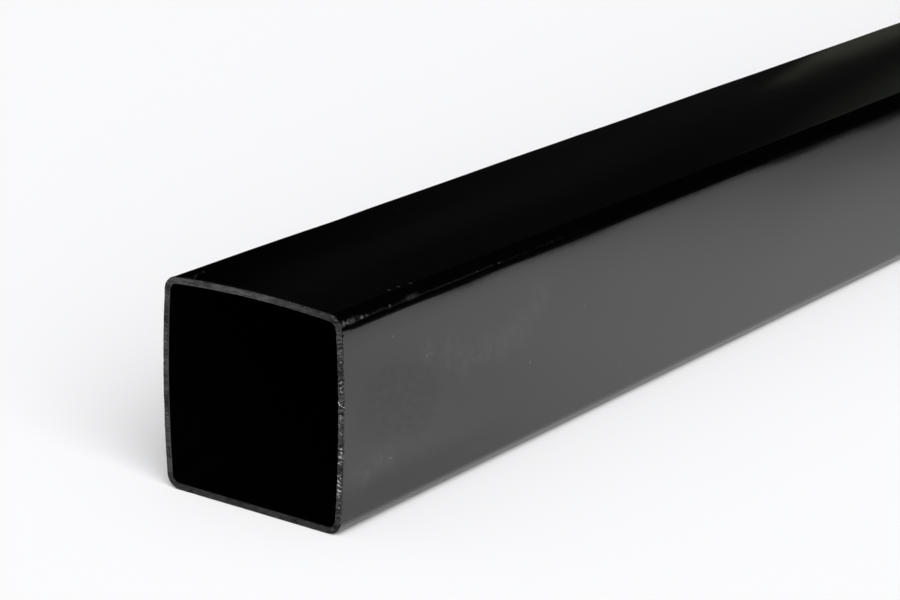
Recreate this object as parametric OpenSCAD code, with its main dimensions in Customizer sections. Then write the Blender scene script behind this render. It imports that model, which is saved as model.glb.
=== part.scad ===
// Square tube of extruded rigid PVC, sawn to length.
// It lies along Y on its one flat wall. The other three walls bow outward a little, as the
// walls of a tube drawn off while still warm do, and the wall is equally thick all round.

/* [Section] */
// Width across the two side walls, at mid height
width = 50; // [30:0.5:150]
// Height from the flat wall that it lies on to the middle of the top wall
height = 50; // [30:0.5:150]
// Thickness of the wall, the same all round
wall = 1.6; // [0.8:0.1:5]
// Radius of the corners of the bore
bore_corner_r = 1.9; // [0.5:0.1:8]
// How far each side wall bows outward
side_bow = 1; // [0.1:0.1:2.5]
// How far the top wall bows outward
top_bow = 1.2; // [0.1:0.1:2.5]

/* [Length] */
// Length between the two sawn ends
length = 1000; // [100:10:6000]

/* [Smoothness] */
// Flat strips to each rounded corner
corner_strips = 16; // [4:2:32]
// Flat strips to each half of a bowed wall
bow_strips = 8; // [2:1:16]

/* [Hidden] */

// The bore's corners and the outside corners share their centres
corner_r = bore_corner_r + wall;

// Radius of a wall that rises by the bow over the span
function bow_radius(span, bow) = ((span / 2)^2 + bow^2) / (2 * bow);
side_r = bow_radius(height, side_bow);
top_r = bow_radius(width, top_bow);
side_centre = [width / 2 - side_r, height / 2];
top_centre = [0, height - top_r];

// Crossing of two circles about a and b, on the left hand going from a to b
function crossing(a, a_r, b, b_r) =
    let (
        apart = norm(b - a),
        ahead = (b - a) / apart,
        along = (a_r^2 - b_r^2 + apart^2) / (2 * apart),
        aside = sqrt(a_r^2 - along^2)
    )
    a + along * ahead + aside * [-ahead[1], ahead[0]];

// Centre of the right upper corner, tangent to the top wall and to the side wall
upper = crossing(side_centre, side_r - corner_r, top_centre, top_r - corner_r);
// Centre of the right lower corner, tangent to the flat wall and to the side wall
lower_x = side_centre[0] + sqrt((side_r - corner_r)^2 - (height / 2 - corner_r)^2);
lower = [lower_x, corner_r];

// Directions, in degrees, in which the outline passes from one arc to the next
function heading(from, to) = atan2(to[1] - from[1], to[0] - from[0]);
base_turn = -90;
lower_turn = heading(side_centre, lower);
middle_turn = 0;
upper_turn = heading(side_centre, upper);
top_turn = heading(top_centre, upper);
crest_turn = 90;

// Points of an arc, without its last one, which the next arc starts with
function arc(centre, radius, from, to, strips) = [
    for (i = [0 : strips - 1])
        let (turn = from + (to - from) * i / strips)
        centre + radius * [cos(turn), sin(turn)]
];

// Right half of the section's outline from the flat wall to the crest, drawn in by the inset.
// Every arc keeps its centre, so that the two outlines stay parallel
function right_half(inset) = concat(
    arc(lower, corner_r - inset, base_turn, lower_turn, corner_strips),
    arc(side_centre, side_r - inset, lower_turn, middle_turn, bow_strips),
    arc(side_centre, side_r - inset, middle_turn, upper_turn, bow_strips),
    arc(upper, corner_r - inset, upper_turn, top_turn, corner_strips),
    arc(top_centre, top_r - inset, top_turn, crest_turn, bow_strips)
);

// The whole outline: the right half, the crest and the right half's mirror image
module outline(inset) {
    right = right_half(inset);
    crest = [0, height - inset];
    left = [for (i = [len(right) - 1 : -1 : 0]) [-right[i][0], right[i][1]]];
    polygon(concat(right, [crest], left));
}

// The tube, with its section upright and its middle over the origin
module tube() {
    color([0.06, 0.06, 0.065])
    translate([0, length / 2, 0])
    rotate([90, 0, 0])
    linear_extrude(length)
    difference() {
        outline(0);
        outline(wall);
    }
}

tube();
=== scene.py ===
import math

import bpy
import numpy as np
from mathutils import Matrix, Vector


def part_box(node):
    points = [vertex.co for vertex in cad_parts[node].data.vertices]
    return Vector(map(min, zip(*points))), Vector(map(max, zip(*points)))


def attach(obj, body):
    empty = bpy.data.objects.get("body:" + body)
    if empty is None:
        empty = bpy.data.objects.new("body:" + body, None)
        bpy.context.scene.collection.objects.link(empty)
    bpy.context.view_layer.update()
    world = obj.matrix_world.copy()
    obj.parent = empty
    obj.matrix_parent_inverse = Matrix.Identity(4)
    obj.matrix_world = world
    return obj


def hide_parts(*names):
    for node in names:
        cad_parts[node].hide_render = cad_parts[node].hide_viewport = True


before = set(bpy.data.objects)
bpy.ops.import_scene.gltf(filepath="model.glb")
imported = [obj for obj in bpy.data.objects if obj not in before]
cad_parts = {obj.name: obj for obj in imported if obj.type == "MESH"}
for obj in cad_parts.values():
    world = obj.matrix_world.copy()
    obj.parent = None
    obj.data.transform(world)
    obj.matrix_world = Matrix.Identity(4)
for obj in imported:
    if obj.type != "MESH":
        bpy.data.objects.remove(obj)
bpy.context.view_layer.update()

# The tube: one extrusion of black rigid PVC, drawn through a die and cooled, so its three free walls
# bow outward a little and its skin is glossy. A saw has cut it to length, which left both ends matt,
# grooved along the way the blade went, and frayed on the wall where the teeth came out.
tube_low, tube_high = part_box("tube")
width = tube_high.x - tube_low.x
height = tube_high.z - tube_low.z
half_width = width / 2
near_y = tube_low.y
far_y = tube_high.y
wall = 0.0016
bore_corner_r = 0.0019
side_bow = 0.0010
top_bow = 0.0012
corner_r = bore_corner_r + wall

# Points of the outline on each corner, on the right wall, whose saw marks are the coarsest, and on each
# other wall. Away from the cuts the skins take only one point in four.
corner_steps = 72
right_steps = 300
wall_steps = 144
thinning = 4


def bow_radius(span, bow):
    """Radius of a wall that rises by the bow over the span: half the span squared plus the bow squared,
    over twice the bow."""
    return ((span / 2) ** 2 + bow**2) / (2 * bow)


def section():
    """The outside of the section and its outward normals, as arrays of (x, z), anticlockwise from the
    left end of the flat wall. Each point lies at an arc's centre plus its radius times its normal. A
    corner's centre is where the circles that run one corner radius inside its two walls cross."""
    side_r = bow_radius(height, side_bow)
    top_r = bow_radius(width, top_bow)
    side = np.array([half_width - side_r, height / 2])
    top = np.array([0.0, height - top_r])
    apart = np.linalg.norm(top - side)
    ahead = (top - side) / apart
    along = ((side_r - corner_r) ** 2 - (top_r - corner_r) ** 2 + apart**2) / (2 * apart)
    aside = math.sqrt((side_r - corner_r) ** 2 - along**2)
    upper = side + along * ahead + aside * np.array([-ahead[1], ahead[0]])
    lower_x = side[0] + math.sqrt((side_r - corner_r) ** 2 - (height / 2 - corner_r) ** 2)
    lower = np.array([lower_x, corner_r])
    flip = np.array([-1.0, 1.0])
    low_turn = math.atan2(*(lower - side)[::-1])
    up_turn = math.atan2(*(upper - side)[::-1])
    top_turn = math.atan2(*(upper - top)[::-1])
    arcs = (
        (lower, corner_r, -math.pi / 2, low_turn, corner_steps),
        (side, side_r, low_turn, up_turn, right_steps),
        (upper, corner_r, up_turn, top_turn, corner_steps),
        (top, top_r, top_turn, math.pi - top_turn, wall_steps),
        (upper * flip, corner_r, math.pi - top_turn, math.pi - up_turn, corner_steps),
        (side * flip, side_r, math.pi - up_turn, math.pi - low_turn, wall_steps),
        (lower * flip, corner_r, math.pi - low_turn, 1.5 * math.pi, corner_steps),
    )
    base_x = np.linspace(-lower_x, lower_x, wall_steps, endpoint=False)
    points = [np.c_[base_x, np.zeros(wall_steps)]]
    normals = [np.tile([0.0, -1.0], (wall_steps, 1))]
    for centre, radius, start, end, steps in arcs:
        turn = np.linspace(start, end, steps, endpoint=False)
        normals.append(np.c_[np.cos(turn), np.sin(turn)])
        points.append(centre + radius * normals[-1])
    return np.concatenate(points), np.concatenate(normals)


skin, normal = section()


def ripple(place, pitch, draw):
    """A smooth random curve: one random height from -1 to 1 at every pitch along the way, and between
    two of them the step 3t^2 - 2t^3."""
    step = place / pitch
    whole = np.floor(step).astype(int)
    part = step - whole
    ease = part * part * (3 - 2 * part)
    whole -= whole.min()
    heights = draw.uniform(-1, 1, whole.max() + 2)
    return heights[whole] * (1 - ease) + heights[whole + 1] * ease


def smooth_step(low, high, value):
    """0 below low, 1 above high, and 3t^2 - 2t^3 between them."""
    t = np.clip((value - low) / (high - low), 0, 1)
    return t * t * (3 - 2 * t)


def bell(value, reach):
    """A bell curve: e to the power of minus the square of the value over the reach."""
    return np.exp(-((value / reach) ** 2))


def wander(points, normals, y):
    """How far the skin stands out at each row of y: a few long waves from uneven cooling, each a cosine
    along the length times a cosine round the section, short shallow dents on the upper corners, each a
    bell curve along the length, and faint swells where the side walls run into those corners, each a
    bell curve along the length and up the wall. All fade out at the cuts. The flat wall, which the tube
    lies on, has none."""
    wave_high = 0.00002
    dents, dent_margin = 26, 0.05
    swells, swell_z, swell_reach = 40, height - 0.0065, 0.0026
    fade_start, fade_end = 0.003, 0.025
    draw = np.random.default_rng(7)
    round_turn = np.arctan2(points[:, 1] - height / 2, points[:, 0])
    stand = np.zeros((len(y), len(points)))
    for turns in (1, 2, 2, 3, 3, 4, 5):
        pitch = draw.uniform(0.05, 0.24)
        shift = draw.uniform(0, 2 * math.pi, 2)
        wave = np.cos(2 * math.pi * y / pitch + shift[0])
        stand += wave_high * wave[:, None] * np.cos(turns * round_turn + shift[1])
    for side in (1, -1):
        corner = np.clip(normals @ np.array([side, 1.0]) / math.sqrt(2), 0, 1) ** 8
        for place in draw.uniform(near_y + dent_margin, far_y - dent_margin, dents):
            deep = draw.uniform(-0.00016, 0.00020)
            long = draw.uniform(0.004, 0.010)
            stand -= deep * bell(y - place, long)[:, None] * corner
    for side in (1, -1):
        below_corner = bell(points[:, 1] - swell_z, swell_reach) * (side * normals[:, 0] > 0.5)
        for place in draw.uniform(near_y, far_y, swells):
            high = draw.uniform(-0.000014, 0.000014)
            long = draw.uniform(0.009, 0.022)
            stand += high * bell(y - place, long)[:, None] * below_corner
    from_cut = np.minimum(y - near_y, far_y - y)
    stand *= smooth_step(fade_start, fade_end, from_cut)[:, None]
    return stand * (1 - smooth_step(0.3, 0.7, -normals[:, 1]))


def grooves(x, z, draw):
    """How deep the saw's grooves are, from 0 to about 1. Each tooth's groove runs along X, slightly
    bent, at its own height, and is a bell curve across. On the right wall the grooves are deepest, and
    they slant."""
    teeth, lowest = 72, -0.002
    bend, slant, waver = 1.5, 0.45, 0.00012
    tooth_z = np.cumsum(draw.uniform(0.00045, 0.0011, teeth)) + lowest
    deep = draw.uniform(0.2, 1, teeth)
    wide = draw.uniform(0.00016, 0.0003, teeth)
    right = smooth_step(0.8 * half_width, 0.92 * half_width, x)
    bent = z + bend * x**2 - slant * right * (x - half_width) + waver * ripple(x, 0.004, draw)
    cut = deep * bell(bent[..., None] - tooth_z, wide)
    share = 0.3 + 0.7 * smooth_step(0.6 * half_width, 0.9 * half_width, x)
    return share * cut.sum(-1)


def sawn_end(points, normals, cut_y, inward, seed):
    """The rows of one sawn end, from the bore's skin over the cut to the outer skin, and the depth of
    the grooves there. A row is the section's outline drawn in along its normals, so the end is a
    function of the place round the section and of the place across the wall. The cut's edges are
    rounded, and worn unevenly into chips and raised lips."""
    edge = 0.00014
    groove_deep = 0.00013
    chip_deep, lip_high = 0.00026, 0.00005
    grain_deep = 0.000014
    draw = np.random.default_rng(seed)
    lip_in = np.array([0, 0, 0, 0, 0.3, 1]) * edge
    lip_y = np.array([0.0022, 0.0007, 0.00032, edge, 0.3 * edge, 0])
    face = np.linspace(wall - edge, edge, 9)[1:-1]
    drawn_in = np.r_[wall - lip_in, face, lip_in[::-1]]
    deep = np.r_[lip_y, np.zeros(len(face)), lip_y[::-1]]
    flat = points[None] - drawn_in[:, None, None] * normals[None]
    x, z = flat[..., 0], flat[..., 1]
    reach = bell(deep, edge)[:, None]
    place = np.linspace(0, 4 * width, len(points), endpoint=False)
    rough = 0.25 + 0.75 * smooth_step(0.5, 0.95, normals[:, 0])
    chips = np.clip(ripple(place, 0.0006, draw) - 0.35, 0, 1) * rough * chip_deep
    lips = (0.5 + 0.5 * ripple(place, 0.0011, draw)) * rough * lip_high
    at_edge = bell(np.minimum(drawn_in, wall - drawn_in), edge)[:, None]
    worn = reach * at_edge * (chips - lips)
    side = np.sign(drawn_in - wall / 2)[:, None]
    x = x + side * worn * normals[:, 0]
    z = z + side * worn * normals[:, 1]
    groove = reach * grooves(x, z, draw)
    grain = grain_deep * draw.normal(size=x.shape) * reach
    y = cut_y + inward * (deep[:, None] + groove_deep * groove + worn + grain)
    return np.stack([x, y, z], -1), groove


def strips(first, rows, around):
    """Quads between neighbouring rows of a block of closed rows that starts at the vertex first."""
    index = first + np.arange(rows * around).reshape(rows, around)
    turned = np.roll(index, -1, axis=1)
    quads = np.stack([index[:-1], turned[:-1], turned[1:], index[1:]], -1)
    return quads.reshape(-1, 4)


def fans(fine_first, coarse_first, coarse):
    """Faces between a fine row and a coarse one: one coarse step meets as many fine steps as the
    thinning says."""
    step = np.arange(coarse)
    many = np.arange(thinning, -1, -1)
    far = fine_first + (step[:, None] * thinning + many) % (coarse * thinning)
    return np.c_[coarse_first + step, coarse_first + (step + 1) % coarse, far]


def make_tube():
    """The closed surface of the tube. The section's outline is carried once round the wall: across the
    near cut, along the outer skin, back across the far cut and along the bore. Rows at the cuts are
    fine, and the long skins take every fourth of their points. Gives the vertices, the faces, which
    faces are sawn, and how deep the saw's grooves are at each vertex."""
    skin_margin = 0.004
    outer_count, bore_count = 190, 16
    lip_rows = 5
    coarse_skin, coarse_normal = skin[::thinning], normal[::thinning]
    near_cut, near_groove = sawn_end(skin, normal, near_y, 1, 11)
    far_cut, far_groove = sawn_end(skin, normal, far_y, -1, 12)
    outer_y = np.linspace(near_y + skin_margin, far_y - skin_margin, outer_count)
    stand = wander(coarse_skin, coarse_normal, outer_y)
    outline = coarse_skin[None] + stand[..., None] * coarse_normal[None]
    outer_rows = np.broadcast_to(outer_y[:, None], stand.shape)
    outer = np.stack([outline[..., 0], outer_rows, outline[..., 1]], -1)
    bore_y = np.linspace(far_y - skin_margin, near_y + skin_margin, bore_count)
    bore = coarse_skin - wall * coarse_normal
    inner = np.stack(np.broadcast_arrays(bore[None, :, 0], bore_y[:, None], bore[None, :, 1]), -1)
    blocks = (near_cut, outer, far_cut[::-1], inner)
    starts = np.cumsum([0] + [b.shape[0] * b.shape[1] for b in blocks])
    lasts = [s - b.shape[1] for s, b in zip(starts[1:], blocks)]
    quads = [strips(s, *b.shape[:2]) for s, b in zip(starts, blocks)]
    coarse = len(coarse_skin)
    joins = [
        fans(lasts[0], starts[1], coarse),
        fans(starts[2], lasts[1], coarse)[:, ::-1],
        fans(lasts[2], starts[3], coarse),
        fans(starts[0], lasts[3], coarse)[:, ::-1],
    ]
    sawn = []
    for block in blocks:
        row = np.repeat(np.arange(block.shape[0] - 1), block.shape[1])
        cut = block.shape[1] > coarse
        sawn.append(cut & (row >= lip_rows) & (row < block.shape[0] - 1 - lip_rows))
    sawn.append(np.zeros(sum(map(len, joins)), bool))
    vertices = np.concatenate([b.reshape(-1, 3) for b in blocks])
    faces = sum((q.tolist() for q in quads + joins), [])
    smooth = [np.zeros(b.shape[:2]) for b in (outer, inner)]
    groove = [near_groove, smooth[0], far_groove[::-1], smooth[1]]
    return vertices, faces, np.concatenate(sawn), np.concatenate([g.ravel() for g in groove])


def piece(name, vertices, faces):
    """A smooth-shaded mesh object at the origin, made from whole arrays."""
    mesh = bpy.data.meshes.new(name)
    mesh.from_pydata(vertices.tolist(), [], faces)
    mesh.polygons.foreach_set("use_smooth", np.ones(len(mesh.polygons), bool))
    mesh.set_sharp_from_angle(angle=math.radians(55))
    made = bpy.data.objects.new(name, mesh)
    bpy.context.scene.collection.objects.link(made)
    return made


class Wire:
    """A shader socket that can stand in a Python expression. Each operator adds one Math node."""

    def __init__(self, tree, socket):
        self.tree = tree
        self.socket = socket

    def node(self, kind, settings, sockets, output=0):
        """Adds a node of a kind, with its settings first and then its sockets, and gives one output."""
        made = self.tree.nodes.new(kind)
        for key, value in settings.items():
            setattr(made, key, value)
        for key, value in sockets.items():
            if isinstance(value, Wire):
                self.tree.links.new(value.socket, made.inputs[key])
            else:
                made.inputs[key].default_value = value
        return Wire(self.tree, made.outputs[output])

    def math(self, operation, first, second):
        return self.node("ShaderNodeMath", {"operation": operation}, {0: first, 1: second})

    def __add__(self, other):
        return self.math("ADD", self, other)

    def __radd__(self, other):
        return self.math("ADD", other, self)

    def __sub__(self, other):
        return self.math("SUBTRACT", self, other)

    def __rsub__(self, other):
        return self.math("SUBTRACT", other, self)

    def __mul__(self, other):
        return self.math("MULTIPLY", self, other)

    def __rmul__(self, other):
        return self.math("MULTIPLY", other, self)

    def __abs__(self):
        return self.math("ABSOLUTE", self, 0.0)

    def ramp(self, low, high):
        """0 where the value is below low, 1 above high, and smooth between. High may be below low."""
        sockets = {"Value": self, "From Min": low, "From Max": high}
        return self.node("ShaderNodeMapRange", {"interpolation_type": "SMOOTHSTEP"}, sockets)

    def split(self):
        """The three values of a vector."""
        first = self.node("ShaderNodeSeparateXYZ", {}, {0: self})
        return [Wire(self.tree, output) for output in first.socket.node.outputs]

    def scaled(self, x, y, z):
        sockets = {"Vector": self, "Scale": (x, y, z)}
        return self.node("ShaderNodeMapping", {"vector_type": "POINT"}, sockets)

    def noise(self, scale, detail=2.0, roughness=0.5):
        sockets = {"Vector": self, "Scale": scale, "Detail": detail, "Roughness": roughness}
        return self.node("ShaderNodeTexNoise", {}, sockets)

    def blend(self, first, second):
        """The first colour where this value is 0 and the second where it is 1."""
        sockets = {"Factor": self, 6: first, 7: second}
        return self.node("ShaderNodeMix", {"data_type": "RGBA"}, sockets, 2)


def finish_of(name, ior):
    """A new material, its Principled shader, and its object coordinates as a wire."""
    made = bpy.data.materials.new(name)
    made.use_nodes = True
    shader = made.node_tree.nodes["Principled BSDF"]
    shader.inputs["IOR"].default_value = ior
    start = Wire(made.node_tree, None)
    place = start.node("ShaderNodeTexCoord", {}, {}, "Object")
    return made, shader, place


def feed(wire, shader, socket):
    wire.tree.links.new(wire.socket, shader.inputs[socket])


def near(value, middle, reach):
    """1 where the value is at the middle, and smoothly down to 0 one reach away from it."""
    return abs(value - middle).ramp(reach, 0.0)


def spots(along, rise, places):
    """1 in the middle of each place, and smoothly down to 0 at its reach. A place is the middle along,
    the middle of the rise, and the reach."""
    total = 0
    for middle_along, middle_rise, reach in places:
        ahead, above = along - middle_along, rise - middle_rise
        total = total + (ahead * ahead + above * above).ramp(reach**2, 0.0)
    return total


def from_near_end(place):
    """The place across the tube, its distance from the near end, and its height."""
    across, along, up = place.split()
    return across, along - near_y, up


def on_side(across):
    """1 on the outside of the right wall and 0 further in. With the absolute value of across it is 1 on
    both side walls."""
    return across.ramp(half_width - 0.0014, half_width - 0.0007)


def hand_marks_and_reflection(place, clouds, mottle):
    """What lies on the side walls: a thin uneven haze left by hands, strongest near the cut and wiped off
    in some places, paler finger smears on the right wall, and, low beside the cut, a painted reflection: a
    pale streak drawn like the smears. Both the haze and the smears are broken up by the skin's prints."""
    across, from_end, up = from_near_end(place)
    # The first seven are pale smears; the last three are a painted reflection, a pale streak low on the
    # right wall beside the cut.
    smear_and_reflection_places = (
        (0.030, 0.034, 0.004),
        (0.038, 0.032, 0.005),
        (0.044, 0.028, 0.005),
        (0.051, 0.029, 0.005),
        (0.058, 0.028, 0.006),
        (0.065, 0.030, 0.006),
        (0.073, 0.035, 0.006),
        (0.006, 0.011, 0.005),
        (0.011, 0.013, 0.005),
        (0.016, 0.014, 0.004),
    )
    clean_places = ((0.013, 0.026, 0.011), (0.020, 0.026, 0.012), (0.027, 0.023, 0.010))
    prints = place.scaled(1, 0.7, 1).noise(640, 3, 0.65).ramp(0.42, 0.60)
    right_wall = on_side(across)
    handled = on_side(abs(across)) * (0.3 + 0.7 * from_end.ramp(0.20, 0.02))
    below_corner = up.ramp(height - 0.0050, height - 0.0095)
    film = handled * below_corner * (0.45 + 0.25 * clouds) * (0.75 + 0.25 * mottle)
    wiped = spots(from_end, up, clean_places).ramp(0.0, 1.0)
    haze = film * (1 - right_wall * wiped * (0.25 + 0.75 * prints))
    # Pale smears, and the painted reflection of a pale streak low beside the cut.
    smears_and_reflection = right_wall * spots(from_end, up, smear_and_reflection_places) * (0.15 + 0.85 * prints)
    return haze, smears_and_reflection


def small_specks(place):
    """Specks in the plastic, scattered over the whole skin but faint away from the side walls, and a few
    grains of dust on the right wall."""
    across, from_end, up = from_near_end(place)
    dust_places = (
        (0.0175, 0.0405, 0.0003),
        (0.0294, 0.0331, 0.0003),
        (0.0167, 0.0132, 0.0003),
        (0.0695, 0.0209, 0.0003),
        (0.0920, 0.0287, 0.0003),
    )
    cells = place.node("ShaderNodeTexVoronoi", {"feature": "F1"}, {"Vector": place, "Scale": 120})
    specks = cells.ramp(0.028, 0.014) * (0.3 + 0.7 * on_side(abs(across)))
    dust = on_side(across) * spots(from_end, up, dust_places)
    return specks, dust


def scratches(place):
    """Hairline scratches on the outside of the side walls and of the top, in patches, and one longer
    scratch that crosses the top beside the cut."""
    across, from_end, up = from_near_end(place)
    sockets = {"Vector": place, "Rotation": (0.5, 0.35, 0.6), "Scale": (1, 0.02, 1)}
    turned = place.node("ShaderNodeMapping", {}, sockets)
    outside = on_side(abs(across)) + up.ramp(height - 0.0015, height - 0.0012)
    hairs = outside * turned.noise(700, 2).ramp(0.70, 0.76) * place.noise(40, 2).ramp(0.52, 0.66)
    way = 0.886 * across + 0.464 * from_end
    on_top = up.ramp(height - 0.005, height - 0.004)
    scratch = near(way, -0.01426, 0.00014) * near(from_end, 0.0021, 0.0024) * on_top
    return hairs, scratch


def corner_wear(place):
    """Wear of the upper right corner: a rubbed line along it that fades away from the cut, a fan of fine
    strokes beside the cut, a few knocks on the line, one worn spot, and single nicks on the top."""
    across, from_end, up = from_near_end(place)
    nick_places = (
        (0.0210, 0.0207, 0.0005),
        (0.0243, 0.0208, 0.0005),
        (0.0280, 0.0212, 0.0005),
        (0.0059, -0.0182, 0.0006),
    )
    grit = place.scaled(1, 0.6, 1).noise(1700, 3, 0.65)
    strokes = place.scaled(0.3, 1, 0.3).noise(2600, 2).ramp(0.42, 0.60)
    dots = place.noise(3500, 2).ramp(0.38, 0.56)
    round_corner = up - across
    middle = height - half_width - 0.0015
    high = up.ramp(height - 0.006, height - 0.004)
    upper_right = across.ramp(half_width - 0.005, half_width - 0.003) * high
    rub_line = upper_right * near(round_corner, middle - 0.0002, 0.0007)
    rubbed = rub_line * from_end.ramp(0.11, 0.02) * grit.ramp(0.50, 0.66)
    fan = upper_right * near(round_corner, middle, 0.0013) * from_end.ramp(0.0080, 0.0010) * strokes
    knocks = 0.6 * near(from_end, 0.0073, 0.0008) + 0.2 * near(from_end, 0.0090, 0.0008)
    struck = rub_line * dots * (knocks + 0.35 * near(from_end, 0.0171, 0.0006))
    worn_spot = upper_right * near(round_corner, middle, 0.0012) * near(from_end, 0.0250, 0.0035)
    nicks = high * spots(from_end, across, nick_places)
    return 0.07 * rubbed + 0.32 * fan + struck + 0.05 * worn_spot + 0.10 * nicks


def extruded_skin():
    """Gloss black PVC as it left the die, with fine lines along the length and faint clouds. On it lie
    the marks of hands, a painted reflection of a pale streak beside the cut, specks and dust, scratches,
    and the wear of one corner."""
    made, shader, place = finish_of("extruded_skin", 1.6)
    lines = place.scaled(1, 0.004, 1).noise(1400, 3)
    clouds = place.noise(24, 4, 0.6).ramp(0.40, 0.72)
    mottle = place.noise(330, 3, 0.6).ramp(0.36, 0.66)
    haze, smears_and_reflection = hand_marks_and_reflection(place, clouds, mottle)
    specks, dust = small_specks(place)
    hairs, scratch = scratches(place)
    scuffs = corner_wear(place) + 0.28 * scratch

    black = (0.0004, 0.0004, 0.00045, 1)
    dusty = haze.blend(black, (0.016, 0.016, 0.0173, 1))
    clouded = (0.5 * clouds * mottle).blend(dusty, (0.0012, 0.0012, 0.0013, 1))
    # Paler where the smears are, and where a pale streak beside the cut is painted as a reflection.
    with_smears_and_reflection = (0.28 * smears_and_reflection).blend(clouded, (0.04, 0.04, 0.042, 1))
    scored = (0.35 * hairs).blend(with_smears_and_reflection, (0.02, 0.02, 0.02, 1))
    scuffed = scuffs.blend(scored, (0.25, 0.25, 0.25, 1))
    specked = specks.blend(scuffed, (0.06, 0.06, 0.06, 1))
    feed((0.6 * dust).blend(specked, (0.12, 0.12, 0.12, 1)), shader, "Base Color")
    rough = 0.07 + 0.03 * lines + 0.02 * haze + 0.10 * hairs + 0.3 * scuffs + 0.4 * specks
    feed(rough, shader, "Roughness")
    peel = place.noise(420, 2)
    relief = 0.5 * lines + 0.5 * peel + 0.8 * scuffs + 2.0 * specks
    bump = place.node("ShaderNodeBump", {}, {"Strength": 0.12, "Distance": 0.00006, "Height": relief})
    feed(bump, shader, "Normal")
    return made


def sawn_face():
    """Matt grey of saw-cut black PVC: streaks along the way the blade went, duller and smudged on the
    lower and the right wall and at the top's right, with painted shade in the right wall's grooves and at
    the heights of its burr clumps, pale ridges on the right wall, and stress-whitened flecks where the
    teeth tore the plastic as they came out."""
    made, shader, place = finish_of("sawn_face", 1.5)
    shader.inputs["Specular IOR Level"].default_value = 0.2
    across, _, up = place.split()
    groove = place.node("ShaderNodeAttribute", {"attribute_name": "saw_groove"}, {}, "Fac")
    streaks = place.scaled(0.07, 1, 1).noise(2000, 3, 0.6)
    grain = place.noise(2600, 2)
    patches = place.noise(230, 2)
    tone = 0.35 * streaks + 0.35 * grain + 0.3 * patches
    grey = tone.ramp(0.41, 0.60).blend((0.006, 0.006, 0.0063, 1), (0.062, 0.062, 0.063, 1))

    right = across.ramp(half_width - 0.0060, half_width - 0.0022)
    low = up.ramp(0.0050, 0.0015)
    high = up.ramp(height - 0.0040, height - 0.0025) * (0.1 + 0.35 * across.ramp(0.004, 0.016))
    # Painted shade on the right wall at the heights of the two burr clumps.
    burr_shade = right * (near(up, 0.0181, 0.0030) + near(up, 0.0115, 0.0040))
    dull_and_burr_shade = 0.78 * low + high + 0.25 * right + 0.12 * burr_shade
    smudges = place.scaled(0.3, 1, 1).noise(1800, 2).ramp(0.38, 0.62)
    dim = smudges.blend((0.0005, 0.0005, 0.0005, 1), (0.0165, 0.0165, 0.0165, 1))
    dulled_and_burr_shaded = dull_and_burr_shade.blend(grey, dim)

    # Painted shade in the right wall's saw grooves, darkest where they are deepest.
    groove_shade = right * groove.ramp(0.15, 0.6)
    groove_shaded = (0.9 * groove_shade).blend(dulled_and_burr_shaded, (0.004, 0.004, 0.004, 1))
    torn = place.scaled(0.35, 1, 1).noise(2300, 2)
    busy = place.scaled(0.5, 1, 1).noise(180, 2).ramp(0.44, 0.60)
    on_ridge = right * busy * groove.ramp(0.16, 0.03) * torn.ramp(0.42, 0.60)
    ridged = (0.5 * on_ridge).blend(groove_shaded, (0.12, 0.12, 0.12, 1))
    flecks = torn.ramp(0.63, 0.74) * (0.18 + 0.82 * right)
    feed((0.75 * flecks).blend(ridged, (0.30, 0.31, 0.31, 1)), shader, "Base Color")
    feed(0.62 + 0.2 * grain - 0.15 * flecks, shader, "Roughness")
    relief = streaks + 0.5 * grain
    bump = place.node("ShaderNodeBump", {}, {"Strength": 0.6, "Distance": 0.00006, "Height": relief})
    feed(bump, shader, "Normal")
    return made


tube_vertices, tube_faces, tube_sawn, tube_groove = make_tube()
tube = piece("square_tube", tube_vertices, tube_faces)
tube.data.materials.append(extruded_skin())
tube.data.materials.append(sawn_face())
tube.data.polygons.foreach_set("material_index", tube_sawn.astype(np.int32))
tube.data.attributes.new("saw_groove", "FLOAT", "POINT").data.foreach_set("value", tube_groove)
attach(tube, "root")
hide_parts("tube")

# The burr: slivers of the same PVC that the saw's teeth tore up and left hanging on the near end. Most
# stand in clumps on the right wall, where the teeth came out, and bending has turned them pale.


def slivers(roots, leans, curls, lengths, widths):
    """Thin tapered strands. A strand's middle line is root + length * (t * lean + t^2 * curl) for t from
    0 to 1, and its rings are flat ellipses that narrow to a point at both ends."""
    stations, around = 8, 6
    t = np.linspace(0, 1, stations)[None, :, None]
    line = roots[:, None] + lengths[:, None, None] * (t * leans[:, None] + t**2 * curls[:, None])
    flat = np.cross(leans, curls)
    flat /= np.linalg.norm(flat, axis=1)[:, None]
    thick = np.cross(flat, leans)
    turn = np.linspace(0, 2 * math.pi, around, endpoint=False)[None, None, :, None]
    taper = (widths[:, None, None] * np.clip(1 - t**2, 0.02, 1) * np.clip(0.3 + 3 * t, 0, 1))[:, :, None]
    ring = np.cos(turn) * flat[:, None, None] + 0.4 * np.sin(turn) * thick[:, None, None]
    body = (line[:, :, None] + taper * ring).reshape(len(roots), -1, 3)
    poles = line[:, [0, -1]]
    vertices = np.concatenate([body, poles], 1)
    index = np.arange(stations * around).reshape(stations, around)
    turned = np.roll(index, -1, axis=1)
    quads = np.stack([index[:-1], turned[:-1], turned[1:], index[1:]], -1).reshape(-1, 4)
    root_pole, tip_pole = stations * around, stations * around + 1
    root_cap = np.c_[turned[0], index[0], np.full(around, root_pole)]
    tip_cap = np.c_[index[-1], turned[-1], np.full(around, tip_pole)]
    first = (np.arange(len(roots)) * vertices.shape[1])[:, None, None]
    faces = (first + quads).reshape(-1, 4).tolist()
    faces += (first + np.concatenate([root_cap, tip_cap])).reshape(-1, 3).tolist()
    return vertices.reshape(-1, 3), faces


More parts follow.
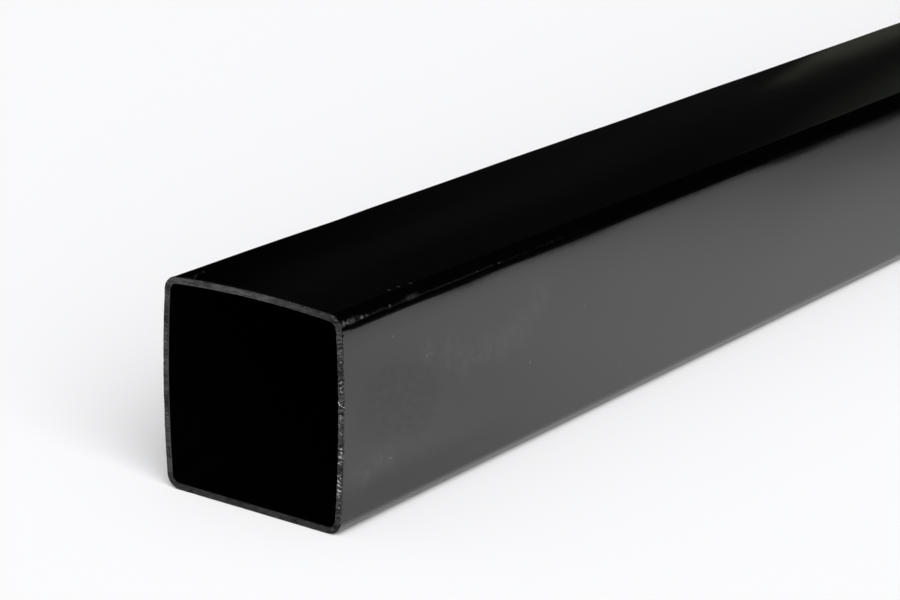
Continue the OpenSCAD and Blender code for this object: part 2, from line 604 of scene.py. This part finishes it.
def torn_pvc():
    """Stress-whitened slivers of the plastic: pale grey, with darker stretches where they bent less."""
    made, shader, place = finish_of("torn_pvc", 1.5)
    tone = place.noise(2600, 2).ramp(0.35, 0.60)
    feed(tone.blend((0.12, 0.12, 0.12, 1), (0.52, 0.53, 0.53, 1)), shader, "Base Color")
    feed(0.35 + 0.2 * tone, shader, "Roughness")
    return made


# Each clump: how many slivers, its height on the wall and spread, how far in from the outside of the wall
# the roots are as a share of the wall, the rise of a sliver on its way across, and its usual length
clumps = (
    (2, 0.0304, 0.0001, 0.95, -1.20, 0.0011),
    (3, 0.0297, 0.0000, 0.95, 0.14, 0.0023),
    (4, 0.0199, 0.0001, 0.80, 0.20, 0.0010),
    (3, 0.0190, 0.0003, 0.60, 0.15, 0.0008),
    (5, 0.0181, 0.0001, 0.92, 0.15, 0.0016),
    (4, 0.0168, 0.0002, 0.92, -0.20, 0.0009),
    (3, 0.0172, 0.0001, 0.40, 0.10, 0.0005),
    (4, 0.0140, 0.0001, 0.95, -0.60, 0.0007),
    (3, 0.0135, 0.0002, 0.60, 0.20, 0.0006),
    (3, 0.0126, 0.0001, 0.95, -0.20, 0.0011),
    (3, 0.0117, 0.0001, 0.95, -0.10, 0.0014),
    (3, 0.0108, 0.0001, 0.95, -0.10, 0.0016),
    (3, 0.0098, 0.0001, 0.92, -0.05, 0.0014),
    (3, 0.0090, 0.0001, 0.80, 0.10, 0.0010),
    (10, 0.0385, 0.0030, 0.50, 0.00, 0.0005),
    (6, 0.0250, 0.0025, 0.80, 0.10, 0.0006),
    (4, 0.0050, 0.0015, 0.50, 0.20, 0.0005),
)
root_y = near_y + 0.00004
burr_draw = np.random.default_rng(23)
counts = [clump[0] for clump in clumps]
clump_z, clump_spread, clump_in, clump_rise, clump_long = np.repeat(np.array(clumps), counts, axis=0).T[1:]
burr_count = sum(counts)
burr_z = burr_draw.normal(clump_z, clump_spread)
right_x = np.interp(burr_z, *skin[normal[:, 0] > 0.9].T[::-1])
burr_x = right_x - wall * np.clip(burr_draw.normal(clump_in, 0.10), 0.08, 0.95)
burr_roots = np.c_[burr_x, np.full(burr_count, root_y), burr_z]
lean_out = -burr_draw.uniform(0.18, 0.45, burr_count)
lean_up = burr_draw.normal(clump_rise, 0.07)
burr_leans = np.c_[burr_draw.uniform(0.6, 1.0, burr_count), lean_out, lean_up]
burr_leans /= np.linalg.norm(burr_leans, axis=1)[:, None]
curl_back = burr_draw.uniform(0.05, 0.22, burr_count)
curl_up = burr_draw.normal(0.0, 0.08, burr_count)
burr_curls = np.c_[burr_draw.normal(0.0, 0.1, burr_count), curl_back, curl_up]
burr_lengths = clump_long * burr_draw.uniform(0.65, 1.2, burr_count)
burr_widths = burr_draw.uniform(0.00005, 0.00011, burr_count)
burr = piece("saw_burr", *slivers(burr_roots, burr_leans, burr_curls, burr_lengths, burr_widths))
burr.data.materials.append(torn_pvc())
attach(burr, "root")

# The floor: plain white board with a matt face, so wide that no view shows its edge. The tube lies loose
# on it, on its flat wall.
floor_reach = 30.0
floor_z = tube_low.z - 0.00005
floor_corners = np.array([[-1, -1, 0], [1, -1, 0], [1, 1, 0], [-1, 1, 0]]) * floor_reach + [0, 0, floor_z]
floor = piece("floor", floor_corners, [[0, 1, 2, 3]])
floor_paint, floor_shader, _ = finish_of("white_floor", 1.3)
floor_shader.inputs["Base Color"].default_value = (0.92, 0.92, 0.93, 1)
floor_shader.inputs["Roughness"].default_value = 0.9
floor.data.materials.append(floor_paint)

# The shade sheet: a black sheet laid on the floor to the right of the tube, which only the tube's gloss
# sees. It is painted shade on the floor as the right wall mirrors it: thin beside the near end, with one
# darker band across it and a little contact shade close to the tube there, thicker further along, and
# solid black from its outer part on, so the right wall mirrors less white towards its top.
shade_sheet_start = half_width + 0.001
shade_sheet_z = floor_z + 0.00005
shade_sheet_corners = np.array(
    [
        [shade_sheet_start, -floor_reach, shade_sheet_z],
        [floor_reach, -floor_reach, shade_sheet_z],
        [floor_reach, floor_reach, shade_sheet_z],
        [shade_sheet_start, floor_reach, shade_sheet_z],
    ]
)
shade_sheet = piece("shade_sheet", shade_sheet_corners, [[0, 1, 2, 3]])
shade_sheet_paint, shade_sheet_shader, shade_sheet_place = finish_of("painted_floor_shade", 1.3)
shade_sheet_shader.inputs["Base Color"].default_value = (0.002, 0.002, 0.002, 1)
shade_sheet_shader.inputs["Roughness"].default_value = 1.0
shade_sheet_across, shade_sheet_from_end, _ = from_near_end(shade_sheet_place)
# Painted shade on the floor, seen only in the gloss: thicker further along, contact shade by the tube at
# the near end, one darker band across, and solid black from its outer part on.
painted_falloff_shade = 0.6 * shade_sheet_from_end.ramp(0.18, 0.47) * shade_sheet_across.ramp(-0.03, 0.13)
painted_contact_shade = 0.2 * shade_sheet_across.ramp(0.043, 0.034) * shade_sheet_from_end.ramp(0.10, 0.03)
painted_shade_band = 0.08 * near(shade_sheet_from_end, 0.09, 0.06)
painted_dark_beyond = (shade_sheet_across + 0.03 * shade_sheet_from_end).ramp(0.1485, 0.1515)
feed(painted_falloff_shade + painted_contact_shade + painted_shade_band + painted_dark_beyond, shade_sheet_shader, "Alpha")
shade_sheet.data.materials.append(shade_sheet_paint)
shade_sheet.visible_camera = False
shade_sheet.visible_diffuse = False
shade_sheet.visible_shadow = False

# The studio: dark behind the tube, so that its top mirrors next to nothing, with a faint uneven light on
# the back wall, a low glow, a pale ledge and a small far lamp. A dim soft ceiling lights the rest. A black
# screen hangs at a slant in front of the back wall, and keeps the upper right corner black.
scene = bpy.context.scene
world = bpy.data.worlds.new("dark_studio")
world.use_nodes = True
scene.world = world
studio = world.node_tree.nodes["Background"]
toward = Wire(world.node_tree, None).node("ShaderNodeTexCoord", {}, {}, "Generated")
rightward, backward, upward = toward.split()
low_rise, full_rise, overhead_rise, zenith_rise = (math.sin(math.radians(d)) for d in (20, 40, 46, 64))
in_front = backward.ramp(0.5, 0.15)
overhead = upward.ramp(overhead_rise, zenith_rise)
ceiling = upward.ramp(low_rise, full_rise) * (in_front + overhead - in_front * overhead)


def patch(turn, rise, outer, inner):
    """1 inside a round patch of the studio and 0 outside it. Turn is to the right of the tube's length,
    rise is up from the floor, and the edge is soft between two radii, all in degrees."""
    turn, rise, outer, inner = (math.radians(d) for d in (turn, rise, outer, inner))
    way = Vector((math.sin(turn), math.cos(turn), math.tan(rise))).normalized()
    facing = toward.node("ShaderNodeVectorMath", {"operation": "DOT_PRODUCT"}, {0: toward, 1: way}, "Value")
    return facing.ramp(math.cos(outer), math.cos(inner))


past_screen = (upward + 1.1 * rightward).ramp(-0.02, -0.06)
glow = past_screen * patch(-14, 16, 12.8, 8)
lamp = patch(38.5, 13, 3.6, 0.5)
uneven = 0.6 + 0.4 * toward.noise(9, 3).ramp(0.34, 0.66)
wall_light = uneven * past_screen * rightward.ramp(-0.66, -0.56)
ledge_wide = rightward.ramp(-0.494, -0.480) * rightward.ramp(-0.1, -0.3)
ledge = upward.ramp(0.200, 0.160) * ledge_wide * backward.ramp(0.0, 0.2)
back_wall = wall_light.blend((0.0008, 0.0009, 0.0010, 1), (0.0112, 0.0120, 0.0114, 1))
with_glow = glow.blend(back_wall, (0.060, 0.066, 0.055, 1))
with_ledge = ledge.blend(with_glow, (0.080, 0.080, 0.065, 1))
with_lamp = lamp.blend(with_ledge, (0.10, 0.10, 0.10, 1))
feed(ceiling.blend(with_lamp, (0.4, 0.4, 0.404, 1)), studio, "Color")

# The light: one very wide softbox from the viewer's side, so the tube's shadow is soft and lies to its
# left. The gloss of the tube doesn't mirror it.
softbox_data = bpy.data.lights.new("softbox", "SUN")
softbox_data.energy = 5.0
softbox_data.angle = math.radians(76)
softbox = bpy.data.objects.new("softbox", softbox_data)
softbox_turn, softbox_rise = math.radians(-51), math.radians(31)
softbox_way = Vector((math.cos(softbox_turn), math.sin(softbox_turn), math.tan(softbox_rise)))
softbox.rotation_euler = softbox_way.to_track_quat("Z", "Y").to_euler()
softbox.visible_glossy = False
scene.collection.objects.link(softbox)

# The camera: a long lens, above and to the right of the near end. Its lens, place and turn are those that
# put the tube's edges where the photo has them.
image_width = 900
focal_pixels = 2867
camera_data = bpy.data.cameras.new("camera")
camera_data.sensor_width = 36
camera_data.lens = focal_pixels / image_width * camera_data.sensor_width
camera_data.clip_start = 0.01
camera_data.clip_end = 200
camera = bpy.data.objects.new("camera", camera_data)
azimuth, elevation, roll = (math.radians(d) for d in (35.39, 17.60, 0.99))
aim = Matrix.Rotation(azimuth, 3, "Z") @ Matrix.Rotation(math.pi / 2 - elevation, 3, "X")
camera.rotation_euler = (aim @ Matrix.Rotation(roll, 3, "Z")).to_euler()
camera.location = (0.3691, near_y - 0.4469, 0.2322)
scene.collection.objects.link(camera)
scene.camera = camera
scene.view_settings.view_transform = "Standard"
